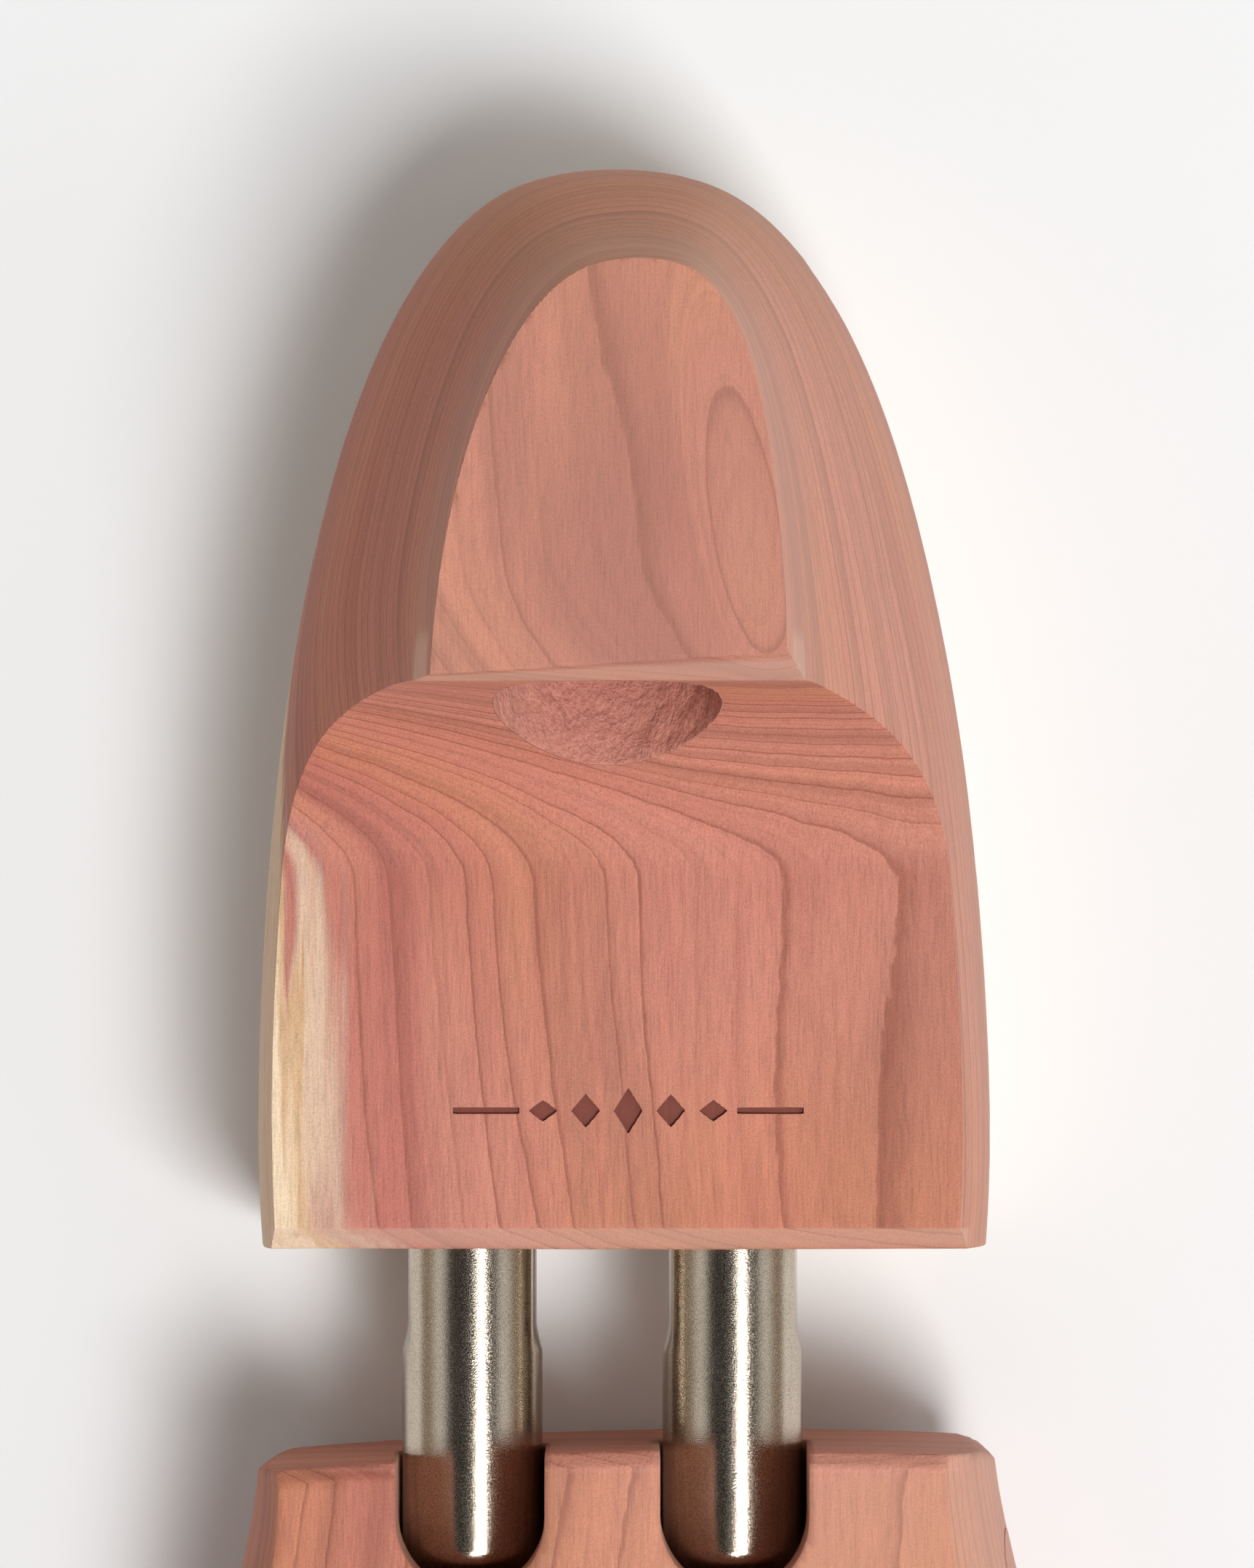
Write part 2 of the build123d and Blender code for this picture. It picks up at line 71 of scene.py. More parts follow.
# ------------------------------------------------------------------------- shader graph
class Graph:
    """A material's node tree, with short calls that return output sockets."""

    def __init__(self, name):
        self.material = bpy.data.materials.new(name)
        self.material.use_nodes = True
        self.tree = self.material.node_tree
        self.surface = self.tree.nodes["Principled BSDF"]
        coordinates = self.tree.nodes.new("ShaderNodeTexCoord")
        self.position = self.scaled(coordinates.outputs["Object"], (1 / MM,) * 3)
        self.facing = coordinates.outputs["Normal"]

    def connect(self, value, socket):
        if isinstance(value, bpy.types.NodeSocket):
            self.tree.links.new(value, socket)
        else:
            socket.default_value = value

    def math(self, operation, first, second=0.0, third=0.0):
        node = self.tree.nodes.new("ShaderNodeMath")
        node.operation = operation
        for value, socket in zip((first, second, third), node.inputs):
            self.connect(value, socket)
        return node.outputs[0]

    def add(self, first, second):
        return self.math("ADD", first, second)

    def subtract(self, first, second):
        return self.math("SUBTRACT", first, second)

    def multiply(self, first, second):
        return self.math("MULTIPLY", first, second)

    def scaled(self, vector, factors, offset=(0.0, 0.0, 0.0)):
        node = self.tree.nodes.new("ShaderNodeVectorMath")
        node.operation = "MULTIPLY_ADD"
        self.connect(vector, node.inputs[0])
        node.inputs[1].default_value = factors
        node.inputs[2].default_value = offset
        return node.outputs[0]

    def vector(self, operation, first, second):
        """A vector calculation with a single number as its result."""
        node = self.tree.nodes.new("ShaderNodeVectorMath")
        node.operation = operation
        self.connect(first, node.inputs[0])
        self.connect(second, node.inputs[1])
        return node.outputs["Value"]

    def vector_scale(self, vector, factor):
        node = self.tree.nodes.new("ShaderNodeVectorMath")
        node.operation = "SCALE"
        self.connect(vector, node.inputs[0])
        self.connect(factor, node.inputs["Scale"])
        return node.outputs[0]

    def split(self, vector):
        node = self.tree.nodes.new("ShaderNodeSeparateXYZ")
        self.connect(vector, node.inputs[0])
        return node.outputs

    def join(self, x, y, z):
        node = self.tree.nodes.new("ShaderNodeCombineXYZ")
        for value, socket in zip((x, y, z), node.inputs):
            self.connect(value, socket)
        return node.outputs[0]

    def noise(self, vector, scale=1.0, detail=2.0, roughness=0.5):
        """Smooth noise about 0.5, in a vector counted in millimetres."""
        node = self.tree.nodes.new("ShaderNodeTexNoise")
        self.connect(vector, node.inputs["Vector"])
        for name, value in (("Scale", scale), ("Detail", detail), ("Roughness", roughness)):
            node.inputs[name].default_value = value
        return node.outputs[0]

    def steps(self, value, start, end, low=0.0, high=1.0, smooth=True):
        """Maps value from start..end to low..high."""
        node = self.tree.nodes.new("ShaderNodeMapRange")
        node.interpolation_type = "SMOOTHSTEP" if smooth else "LINEAR"
        for item, socket in zip((value, start, end, low, high), node.inputs):
            self.connect(item, socket)
        return node.outputs[0]

    def curve(self, value, *points):
        """A linear ramp through (position, value) points."""
        node = self.tree.nodes.new("ShaderNodeValToRGB")
        self.connect(value, node.inputs[0])
        elements = node.color_ramp.elements
        while len(elements) < len(points):
            elements.new(0.5)
        for element, (position, level) in zip(elements, points):
            element.position = position
            element.color = (level, level, level, 1.0)
        return node.outputs[0]

    def mix(self, factor, first, second, blend="MIX"):
        node = self.tree.nodes.new("ShaderNodeMix")
        node.data_type = "RGBA"
        node.blend_type = blend
        self.connect(factor, node.inputs[0])
        self.connect(first, node.inputs[6])
        self.connect(second, node.inputs[7])
        return node.outputs[2]

    def bump(self, height, distance, strength=1.0, normal=None):
        """A bump of height 0..1 over a distance in millimetres."""
        node = self.tree.nodes.new("ShaderNodeBump")
        node.inputs["Strength"].default_value = strength
        node.inputs["Distance"].default_value = distance * MM
        self.connect(height, node.inputs["Height"])
        if normal is not None:
            self.connect(normal, node.inputs["Normal"])
        return node.outputs[0]

    def finish(self, **values):
        for name, value in values.items():
            self.connect(value, self.surface.inputs[name.replace("_", " ")])
        return self.material


# ------------------------------------------------------------------------------- cedar
RING_WIDTH = 1.7
RING_OFFSET = 2.0
# Rings are closer together between these radii, by this many more rings in all.
DENSE_FROM, DENSE_TO, DENSE_RINGS = 60.0, 92.0, 9.0
SAPWOOD_RADIUS = 101.2
HEARTWOOD = to_linear(199, 131, 112)
HEARTWOOD_WARM = to_linear(203, 132, 102)
HEARTWOOD_ROSE = to_linear(181, 106, 94)
LATEWOOD = to_linear(143, 78, 60)
SAPWOOD = to_linear(238, 212, 180)
SAPWOOD_LINE = to_linear(196, 150, 104)
PURPLE = to_linear(176, 124, 114)
CHAR = to_linear(112, 50, 40)
PALE_AND_PAINTED_LIGHT = to_linear(214, 178, 158)
TORN = to_linear(226, 158, 142)
SHADED = to_linear(136, 68, 34)


LOOP_HALF_WIDTH = 5.6
LOOP_HALF_LENGTH = 22.0
LOOP_CENTRE_Y = 109.0
LOOP_HEIGHT = 1.87 * RING_WIDTH


def swelling(g, x, y, z):
    """A long dome in the rings, which draws one closed loop on top of the handle."""
    centre_x = g.math("MULTIPLY_ADD", y, -0.16, 28.8)
    sideways = g.math("DIVIDE", g.subtract(x, centre_x), LOOP_HALF_WIDTH)
    lengthways = g.math("DIVIDE", g.subtract(y, LOOP_CENTRE_Y), LOOP_HALF_LENGTH)
    away = g.add(g.multiply(sideways, sideways), g.multiply(lengthways, lengthways))
    return g.multiply(g.steps(away, 1.0, 0.0, 0.0, LOOP_HEIGHT), g.steps(z, 48.0, 56.0))


def ring_field(g, pith):
    """Distance from the pith line in millimetres, with the waviness of grown wood."""
    sway = g.noise(g.scaled(g.position, (0.035, 0.012, 0.035)), detail=1.0)
    ripple = g.noise(g.scaled(g.position, (0.2, 0.035, 0.2), (7.0, 3.0, 1.0)), detail=2.0)
    hairs = g.noise(g.scaled(g.position, (1.6, 0.5, 1.6), (1.0, 9.0, 4.0)), detail=2.0)
    x, y, z = g.split(g.position)
    pith_x, pith_z = pith(g, y)
    from_x = g.subtract(x, pith_x)
    from_z = g.subtract(z, pith_z)
    radius = g.math("SQRT", g.add(g.multiply(from_x, from_x), g.multiply(from_z, from_z)))
    radius = g.math("MULTIPLY_ADD", g.subtract(sway, 0.5), 2.6, radius)
    radius = g.math("MULTIPLY_ADD", g.subtract(ripple, 0.5), 0.5, radius)
    radius = g.subtract(radius, swelling(g, x, y, z))
    return g.math("MULTIPLY_ADD", g.subtract(hairs, 0.5), 0.12, radius)


def along(g, radius, scale, offset, detail=1.0):
    """Noise that follows the growth rings: it varies across them and hardly along them."""
    x, y, z = g.split(g.position)
    across = g.math("MULTIPLY_ADD", radius, scale, offset)
    return g.noise(g.join(across, g.multiply(y, 0.012), g.multiply(z, 0.01)), detail=detail)


def cedar(name, pith, burnt=False, torn=None, pale=None):
    """Cedar sawn from a plank with the given pith line. torn and pale are masks of special areas."""
    g = Graph(name)
    x, y, z = g.split(g.position)
    radius = ring_field(g, pith)
    uneven = g.math("MULTIPLY_ADD", g.subtract(along(g, radius, 0.22, 5.0), 0.5), 3.2, radius)
    count = g.math("DIVIDE", g.add(uneven, RING_OFFSET), RING_WIDTH)
    count = g.add(count, g.steps(uneven, DENSE_FROM, DENSE_TO, 0.0, DENSE_RINGS, smooth=False))
    phase = g.math("FRACT", count)
    ring_number = g.math("FLOOR", count)
    strength = g.noise(g.join(g.multiply(ring_number, 0.73), 2.0, 0.0), scale=1.7, detail=0.0)
    strength = g.steps(strength, 0.36, 0.64, 0.3, 1.0)
    latewood = g.curve(
        phase, (0.0, 0.0), (0.6, 0.03), (0.86, 0.28), (0.95, 1.0), (0.98, 0.85), (1.0, 0.0),
    )
    fine_phase = g.math("FRACT", g.multiply(count, 2.6))
    fine_line = g.curve(fine_phase, (0.0, 0.0), (0.7, 0.1), (0.94, 1.0), (1.0, 0.0))

    # Noises: slow colour, red patches, fibres, streaks, pores, dust and sanding scratches.
    hue = along(g, radius, 0.09, 1.0)
    rose = along(g, radius, 0.16, 40.0, detail=2.0)
    fibre = g.noise(g.scaled(g.position, (5.5, 0.35, 5.5)), detail=4.0, roughness=0.65)
    streak = g.noise(g.scaled(g.position, (1.3, 0.05, 1.3), (3.0, 0.0, 9.0)), detail=3.0)
    pores = g.noise(g.scaled(g.position, (14.0, 2.2, 14.0)), detail=2.0, roughness=0.7)
    speck = g.noise(g.position, scale=6.0, detail=2.0, roughness=0.7)
    scratch_a = g.noise(g.scaled(g.position, (0.5, 16.0, 0.5)), detail=1.0)
    scratch_b = g.noise(g.scaled(g.position, (11.0, 7.0, 3.0), (2.0, 2.0, 2.0)), detail=1.0)

    # Heartwood, with its growth lines. The lines are thinner and clearer on the walls.
    colour = g.mix(g.steps(hue, 0.38, 0.64), HEARTWOOD, HEARTWOOD_WARM)
    colour = g.mix(g.steps(rose, 0.47, 0.68, 0.0, 0.75), colour, HEARTWOOD_ROSE)
    colour = g.mix(g.multiply(g.steps(streak, 0.45, 0.75), 0.28), colour, HEARTWOOD_ROSE)
    bands = along(g, radius, 0.55, 70.0, detail=3.0)
    bands = g.curve(bands, (0.34, 0.80), (0.48, 1.0), (0.64, 1.07))
    colour = g.mix(1.0, colour, bands, "MULTIPLY")
    across, lengthways, upward = g.split(g.facing)
    wall = g.steps(upward, 0.8, 0.45)
    line = g.multiply(latewood, strength)
    thin_line = g.curve(phase, (0.0, 0.0), (0.80, 0.0), (0.90, 0.9), (0.96, 1.0), (1.0, 0.0))
    colour = g.mix(g.multiply(fine_line, g.math("MULTIPLY_ADD", wall, 0.22, 0.13)), colour, LATEWOOD)
    colour = g.mix(g.multiply(line, 0.68), colour, LATEWOOD)
    colour = g.mix(g.multiply(g.multiply(thin_line, wall), 0.42), colour, LATEWOOD)

    # Sapwood outside its radius, with a purple flush in the heartwood just before it.
    sap_edge = g.math("MULTIPLY_ADD", g.subtract(streak, 0.5), 3.0, radius)
    sap = g.steps(sap_edge, SAPWOOD_RADIUS - 0.3, SAPWOOD_RADIUS + 0.3)
    sap_rim = g.multiply(sap, g.steps(sap_edge, SAPWOOD_RADIUS + 1.3, SAPWOOD_RADIUS + 0.3))
    sap_colour = g.mix(g.multiply(line, 0.8), SAPWOOD, SAPWOOD_LINE)
    sap_colour = g.mix(g.steps(streak, 0.5, 0.8, 0.0, 0.5), sap_colour, SAPWOOD_LINE)
    sap_colour = g.mix(g.multiply(sap_rim, 0.7), sap_colour, SAPWOOD_LINE)
    before_sap = g.steps(sap_edge, SAPWOOD_RADIUS - 3.4, SAPWOOD_RADIUS - 1.0)
    purple = g.multiply(before_sap, g.steps(streak, 0.38, 0.58, 0.15, 0.9))
    colour = g.mix(purple, colour, PURPLE)
    flash = g.multiply(before_sap, g.steps(rose, 0.60, 0.66, 0.0, 0.6))
    colour = g.mix(flash, colour, SAPWOOD)
    colour = g.mix(sap, colour, sap_colour)

    # Surface: fibres, dust, pores, painted light on the walls facing +X, painted shade on the walls
    # facing -X, and a sapwood-coloured tint on the heel's walls that face rearward.
    grain = g.curve(fibre, (0.25, 0.76), (0.5, 1.0), (0.8, 1.16))
    colour = g.mix(1.0, colour, grain, "MULTIPLY")
    dust = g.curve(speck, (0.3, 0.80), (0.52, 1.0), (0.75, 1.16))
    colour = g.mix(0.8, colour, dust, "MULTIPLY")
    colour = g.mix(g.steps(pores, 0.66, 0.78, 0.0, 0.35), colour, LATEWOOD)
    # Painted light: walls facing +X, towards the key and side lights, are made paler.
    colour = g.mix(g.multiply(wall, g.steps(across, 0.05, 0.6, 0.0, 0.24)), colour, PALE_AND_PAINTED_LIGHT)
    # Painted shade: walls facing -X, away from the lights, are darkened.
    colour = g.mix(g.multiply(wall, g.steps(across, -0.05, -0.6, 0.0, 0.38)), colour, SHADED)
    heel_end = g.multiply(g.steps(y, 50.0, 70.0), g.steps(lengthways, 0.3, 0.9, 0.0, 0.28))
    colour = g.mix(g.multiply(wall, heel_end), colour, SAPWOOD_LINE)
    if pale is not None:
        colour = g.mix(pale(g), colour, PALE_AND_PAINTED_LIGHT)
    if burnt:
        colour = g.mix(0.86, colour, CHAR)

    # Relief.
    relief = g.math("MULTIPLY_ADD", line, 0.16, g.multiply(fibre, 0.6))
    relief = g.math("MULTIPLY_ADD", pores, -0.35, relief)
    scratches = g.add(g.multiply(scratch_a, 0.5), g.multiply(scratch_b, 0.5))
    normal = g.bump(relief, 0.10, 0.55)
    normal = g.bump(scratches, 0.05, 0.35, normal)
    if torn is not None:
        tufts = g.noise(g.scaled(g.position, (2.8, 2.0, 2.8)), detail=3.0, roughness=0.65)
        raw = torn(g)
        normal = g.bump(g.multiply(raw, tufts), 0.35, 0.7, normal)
        colour = g.mix(g.multiply(raw, g.steps(tufts, 0.35, 0.65, 0.3, 0.75)), colour, TORN)
    rough = g.math("MULTIPLY_ADD", fibre, 0.22, 0.52)
    rough = g.math("MULTIPLY_ADD", line, -0.06, rough)
    return g.finish(
        Base_Color=colour, Roughness=rough, Normal=normal, Specular_IOR_Level=0.25,
        Sheen_Weight=0.04, Sheen_Roughness=0.4, Sheen_Tint=(1.0, 0.9, 0.8, 1.0),
    )


def heel_pith(g, y):
    """Pith line of the heel's plank: above and to the right of the flat, nearer at the rear."""
    drift = g.math("MULTIPLY_ADD", y, -0.09, 38.2)
    return (
        g.math("MULTIPLY_ADD", g.steps(y, 76.0, 104.0), -16.0, drift),
        g.math("MULTIPLY_ADD", g.steps(y, 80.0, 128.0), 1.0, 118.0),
    )


def fore_pith(g, y):
    """Pith line of the front block's plank."""
    return g.math("MULTIPLY_ADD", y, 0.10, 12.0), g.math("MULTIPLY_ADD", y, -0.05, -42.0)


# Finger hole of the heel block, as in the record's mount.
finger_mount = next(m for m in frame["record"]["mounts"] if m["name"] == "finger_hole")
finger_centre = np.array(finger_mount["pos_m"]) / MM
finger_axis = np.array(finger_mount["axis"])
finger_radius = finger_mount["dims"]["r_mm"]
FINGER_REACH = 16.0         # how far along its axis from its centre the hole can be


def torn_hole(g):
    """One on the drilled wall of the finger hole, zero on the sanded faces."""
    offset = g.scaled(g.position, (1.0, 1.0, 1.0), tuple(-finger_centre))
    height = g.vector("DOT_PRODUCT", offset, tuple(finger_axis))
    on_axis = g.vector_scale(tuple(finger_axis), height)
    distance = g.vector("DISTANCE", offset, on_axis)
    inside = g.steps(distance, finger_radius + 0.14, finger_radius + 0.02)
    near = g.steps(g.math("ABSOLUTE", height), FINGER_REACH, FINGER_REACH - 0.5)
    return g.multiply(inside, near)


def heel_pale(g):
    """Fresh, dusty sanding: on top of the handle, its front bevel and the front chamfer."""
    x, y, z = g.split(g.position)
    handle = g.steps(z, 52.0, 61.9, 0.0, 0.16)
    bevel = g.multiply(g.steps(z, 57.4, 58.4, 0.0, 0.32), g.steps(z, 61.7, 60.6))
    bevel = g.multiply(bevel, g.steps(y, 98.0, 96.0))
    chamfer = g.multiply(g.steps(y, 47.3, 47.0), g.steps(z, 32.0, 34.0, 0.0, 0.4))
    return g.add(handle, g.add(bevel, chamfer))


cedar_heel = cedar("cedar_heel", heel_pith, torn=torn_hole, pale=heel_pale)


def fore_torn(g):
    """Torn fibres along the rear chamfer of the front block."""
    x, y, z = g.split(g.position)
    return g.multiply(g.steps(y, 26.4, 27.0), g.steps(z, 33.0, 34.6, 0.0, 0.5))


def fore_pale(g):
    """The front block is paler towards its outer side."""
    x, y, z = g.split(g.position)
    return g.steps(x, -30.0, 30.0, 0.0, 0.2)


cedar_fore = cedar("cedar_fore", fore_pith, torn=fore_torn, pale=fore_pale)
cedar_burnt = cedar("cedar_burnt", heel_pith, burnt=True)


# ------------------------------------------------------------------------------ metals
def plated_nickel():
    """Satin nickel over a grainy tube: warm, with fine sparkle from a bump and painted specks, a
    painted dark reflection on its sides and underside, and long faint scratches.
    """
    g = Graph("satin_nickel")
    grain = g.noise(g.scaled(g.position, (11.0, 9.0, 11.0)), detail=2.0)
    cloud = g.noise(g.scaled(g.position, (0.5, 0.16, 0.5)), detail=3.0)
    tint = g.mix(g.steps(cloud, 0.3, 0.7), (0.60, 0.51, 0.41, 1.0), (0.53, 0.445, 0.345, 1.0))
    # Painted sparkle: fine specks make the plating's colour darker and brighter, standing in for
    # glints on its grain.
    specks = g.curve(grain, (0.3, 0.55), (0.5, 0.94), (0.7, 1.25))
    tint = g.mix(1.0, tint, specks, "MULTIPLY")
    # Painted reflection: where the tube faces sideways and down, its colour is darkened towards dark
    # brown, standing in for the dark wood it reflects.
    across, lengthways, upward = g.split(g.facing)
    tint = g.mix(g.steps(upward, 0.5, 0.1, 0.0, 0.55), tint, (0.26, 0.20, 0.135, 1.0))
    rough = g.steps(grain, 0.3, 0.75, 0.10, 0.24)
    normal = g.bump(grain, 0.02, 0.45)
    return g.finish(Base_Color=tint, Metallic=1.0, Roughness=rough, Normal=normal)


def turned_metal(name, light, dark, rough_low, rough_high):
    """Machined metal with fine turning marks and a slightly cloudy surface."""
    g = Graph(name)
    marks = g.noise(g.scaled(g.position, (9.0, 9.0, 9.0)), detail=2.0)
    cloud = g.noise(g.position, scale=0.6, detail=3.0)
    tint = g.mix(g.steps(cloud, 0.3, 0.7), light, dark)
    rough = g.steps(cloud, 0.25, 0.75, rough_low, rough_high)
    return g.finish(Base_Color=tint, Metallic=1.0, Roughness=rough, Normal=g.bump(marks, 0.02, 0.4))


nickel = plated_nickel()
steel = turned_metal("turned_steel", (0.60, 0.60, 0.61, 1.0), (0.45, 0.45, 0.46, 1.0), 0.22, 0.42)
brass = turned_metal("turned_brass", (0.74, 0.53, 0.22, 1.0), (0.60, 0.40, 0.15, 1.0), 0.24, 0.42)
spring_wire = turned_metal("zinc_wire", (0.66, 0.67, 0.70, 1.0), (0.48, 0.49, 0.52, 1.0), 0.20, 0.38)


# -------------------------------------------------------------------------- wood pieces
TUBE_RADIUS = 6.0
TUBE_SPACING = 22.3
TUBE_HEIGHT = 22.0
BORE_MARGIN = 0.7           # the bores' walls are nearer to a tube than this


def new_piece(name, mesh, body, *materials):
    piece = bpy.data.objects.new(name, mesh)
    bpy.context.scene.collection.objects.link(piece)
    for material in materials:
        mesh.materials.append(material)
    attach(piece, body)
    return piece


def applied(piece):
    """The piece's mesh with its modifiers applied, and the modifiers removed."""
    graph = bpy.context.evaluated_depsgraph_get()
    mesh = bpy.data.meshes.new_from_object(piece.evaluated_get(graph))
    piece.modifiers.clear()
    piece.data = mesh
    return mesh


WELD_DISTANCE = 0.002 * MM


def joined_mesh(node):
    """A copy of a CAD node's mesh in world space with its faces joined up."""
    source = frame["nodes"][node]
    mesh = source.data.copy()
    mesh.transform(source.matrix_world)
    mesh.materials.clear()
    work = bmesh.new()
    work.from_mesh(mesh)
    bmesh.ops.remove_doubles(work, verts=work.verts, dist=WELD_DISTANCE)
    work.to_mesh(mesh)
    work.free()
    return mesh


def moved_points(mesh, change):
    """Moves every point by change(points, normals), both as arrays in millimetres."""
    count = len(mesh.vertices)
    points = np.empty(count * 3, np.float32)
    normals = np.empty(count * 3, np.float32)
    mesh.vertices.foreach_get("co", points)
    mesh.vertices.foreach_get("normal", normals)
    points = points.reshape(-1, 3) / MM
    normals = normals.reshape(-1, 3)
    points = points + change(points, normals)
    mesh.vertices.foreach_set("co", (points * MM).astype(np.float32).ravel())
    mesh.update()


def noise_at(points, scale, seed):
    """Smooth noise from -1 to 1 at each point, with points in millimetres."""
    offset = Vector((seed * 17.3, seed * 5.1, seed * 9.7))
    return np.array([noise.noise(Vector(p * scale) + offset) for p in points])


# Sanding waves: how fast they vary across and along the block, and their depth.
SANDING_WAVES = ((0.06, 0.035, 0.10), (0.25, 0.10, 0.03))


def hand_sanded(points, normals):
    """The slow waviness that belt sanding leaves, and none in the bores of the tubes."""
    wave = np.zeros(len(points))
    for seed, (across, lengthways, depth) in enumerate(SANDING_WAVES, start=1):
        wave += noise_at(points, np.array((across, lengthways, across)), seed) * depth
    from_tube = np.hypot(np.abs(points[:, 0]) - TUBE_SPACING / 2, points[:, 2] - TUBE_HEIGHT)
    wave[from_tube < TUBE_RADIUS + BORE_MARGIN] = 0.0
    return normals * wave[:, None]


def wood_piece(name, node, body, material, remesh_scale, extra=None):
    """A CAD block as worked wood: softened edges, sanding waves and torn fibres."""
    piece = new_piece(name, joined_mesh(node), body, material)
    remesh = piece.modifiers.new("remesh", "REMESH")
    remesh.mode = "SHARP"
    remesh.octree_depth = 8
    remesh.scale = remesh_scale
    remesh.sharpness = 1.0
    remesh.use_remove_disconnected = False
    smooth = piece.modifiers.new("smooth", "SMOOTH")
    smooth.factor = 0.5
    smooth.iterations = 1
    mesh = applied(piece)
    moved_points(mesh, hand_sanded)
    if extra is not None:
        moved_points(mesh, extra)
    mesh.polygons.foreach_set("use_smooth", [True] * len(mesh.polygons))
    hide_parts(node)
    return piece


TORN_DEPTH = 0.14
TORN_MARGIN = 0.25          # points this far outside the finger hole's radius are on its wall


def torn_finger_hole(points, normals):
    """Torn fibres on the drilled wall of the finger hole."""
    offset = points - finger_centre
    height = offset @ finger_axis
    distance = np.linalg.norm(offset - height[:, None] * finger_axis, axis=1)
    inside = (distance < finger_radius + TORN_MARGIN) & (np.abs(height) < FINGER_REACH)
    amount = np.zeros(len(points))
    chosen = points[inside]
    amount[inside] = noise_at(chosen, np.array((1.0, 0.7, 1.0)), 3) * TORN_DEPTH
    return normals * amount[:, None]


heel = wood_piece("heel_block_wood", "heel_block", "heel", cedar_heel, 0.95, torn_finger_hole)
wood_piece("front_block_wood", "front_block", "forefoot", cedar_fore, 0.95)
wood_piece("toe_wing_wood", "toe_wing", "wing", cedar_fore, 0.6)

# Ornament burnt into the flat: a row of lozenges between two short rules.
ORNAMENT_DEPTH = 0.46
LOZENGE_HEIGHTS = (1.8, 2.8, 3.8, 2.8, 1.8)
LOZENGE_WIDTH = 2.4
LOZENGE_PITCH = 3.6
RULE_LENGTH = 5.6
RULE_WIDTH = 0.5
RULE_DISTANCE = 12.0
FLAT_HEIGHT = 35.0
CUTTER_HEIGHT = 2.0
ORNAMENT_X = 2.2
ORNAMENT_Y = HEEL_FACE + 11.8


def burnt_outlines():
    """Plan outlines of the ornament's pieces, in millimetres."""
    for place, height in enumerate(LOZENGE_HEIGHTS):
        x = ORNAMENT_X + LOZENGE_PITCH * (place - len(LOZENGE_HEIGHTS) // 2)
        yield [
            (x - LOZENGE_WIDTH / 2, ORNAMENT_Y),
            (x, ORNAMENT_Y - height / 2),
            (x + LOZENGE_WIDTH / 2, ORNAMENT_Y),
            (x, ORNAMENT_Y + height / 2),
        ]
    for sign in (-1, 1):
        x = ORNAMENT_X + sign * RULE_DISTANCE
        left, right = x - RULE_LENGTH / 2, x + RULE_LENGTH / 2
        low, high = ORNAMENT_Y - RULE_WIDTH / 2, ORNAMENT_Y + RULE_WIDTH / 2
        yield [(left, low), (right, low), (right, high), (left, high)]


def cut_ornament(piece):
    """Cuts the ornament into a piece, with its walls and floor burnt dark."""
    work = bmesh.new()
    for outline in burnt_outlines():
        floor_z = (FLAT_HEIGHT - ORNAMENT_DEPTH) * MM
        face = work.faces.new([work.verts.new((x * MM, y * MM, floor_z)) for x, y in outline])
        top = bmesh.ops.extrude_face_region(work, geom=[face])["geom"]
        lifted = [v for v in top if isinstance(v, bmesh.types.BMVert)]
        bmesh.ops.translate(work, verts=lifted, vec=(0.0, 0.0, CUTTER_HEIGHT * MM))
    bmesh.ops.recalc_face_normals(work, faces=work.faces)
    mesh = bpy.data.meshes.new("ornament_cutter")
    work.to_mesh(mesh)
    work.free()
    mesh.materials.append(cedar_burnt)
    cutter = bpy.data.objects.new("ornament_cutter", mesh)
    bpy.context.scene.collection.objects.link(cutter)
    cut = piece.modifiers.new("ornament", "BOOLEAN")
    cut.operation = "DIFFERENCE"
    cut.solver = "EXACT"
    cut.material_mode = "TRANSFER"
    cut.object = cutter
    mesh = applied(piece)
    bpy.data.objects.remove(cutter)
    mesh.set_sharp_from_angle(angle=math.radians(50))


cut_ornament(heel)

for node in ("pin_plugs", "pivot_plug", "rod_plug_rear", "rod_plug_front"):
    frame["nodes"][node].data.materials[0] = cedar_fore

# ------------------------------------------------------------------------------- tubes
TUBE_WALL = 0.8
EYE_COVER = 2.4             # how far the plated surface runs on over the eye
CRIMP_HALF_HEIGHT = 3.0
CRIMP_BULGE = 5.5           # half width of the crimped tube at its middle
CRIMP_SHOULDER = 5.2        # half width where the crimp meets the round
CRIMP_FRONT = (-9.0, -6.8)      # from the heel block's face: where the crimp starts, and is full
CRIMP_REAR = 15.5               # from the same face: where it ends, inside the block
TUBE_LIP = 0.25                 # rounding of the tube's rear edge
OVERLAY = 0.02                  # how far the plating stands off the tube
AROUND = 96


def crimp_share(y, full_front, crimp_front, crimp_rear, full_rear):
    """How far the tube is crimped at a station, from 0 to 1."""
    if y < full_front or y > full_rear:
        return 0.0
    rise = min(1.0, (y - full_front) / (crimp_front - full_front))
    fall = min(1.0, (full_rear - y) / (full_rear - crimp_rear))
    share = min(rise, fall)
    return share ** 0.7


def tube_ring(radius, share):
    """Points round a tube section, flattened on both sides by the crimp."""
    ring = []
    inset = TUBE_RADIUS - radius
    for step in range(AROUND):
        angle = math.tau * step / AROUND
        x, z = radius * math.cos(angle), radius * math.sin(angle)
        if abs(z) < CRIMP_HALF_HEIGHT:
            bow = (CRIMP_BULGE - CRIMP_SHOULDER) * (z / CRIMP_HALF_HEIGHT) ** 2
            crimped = CRIMP_BULGE - bow - inset
            x = math.copysign(abs(x) + (min(abs(x), crimped) - abs(x)) * share, x)
        ring.append((x, z))
    return ring


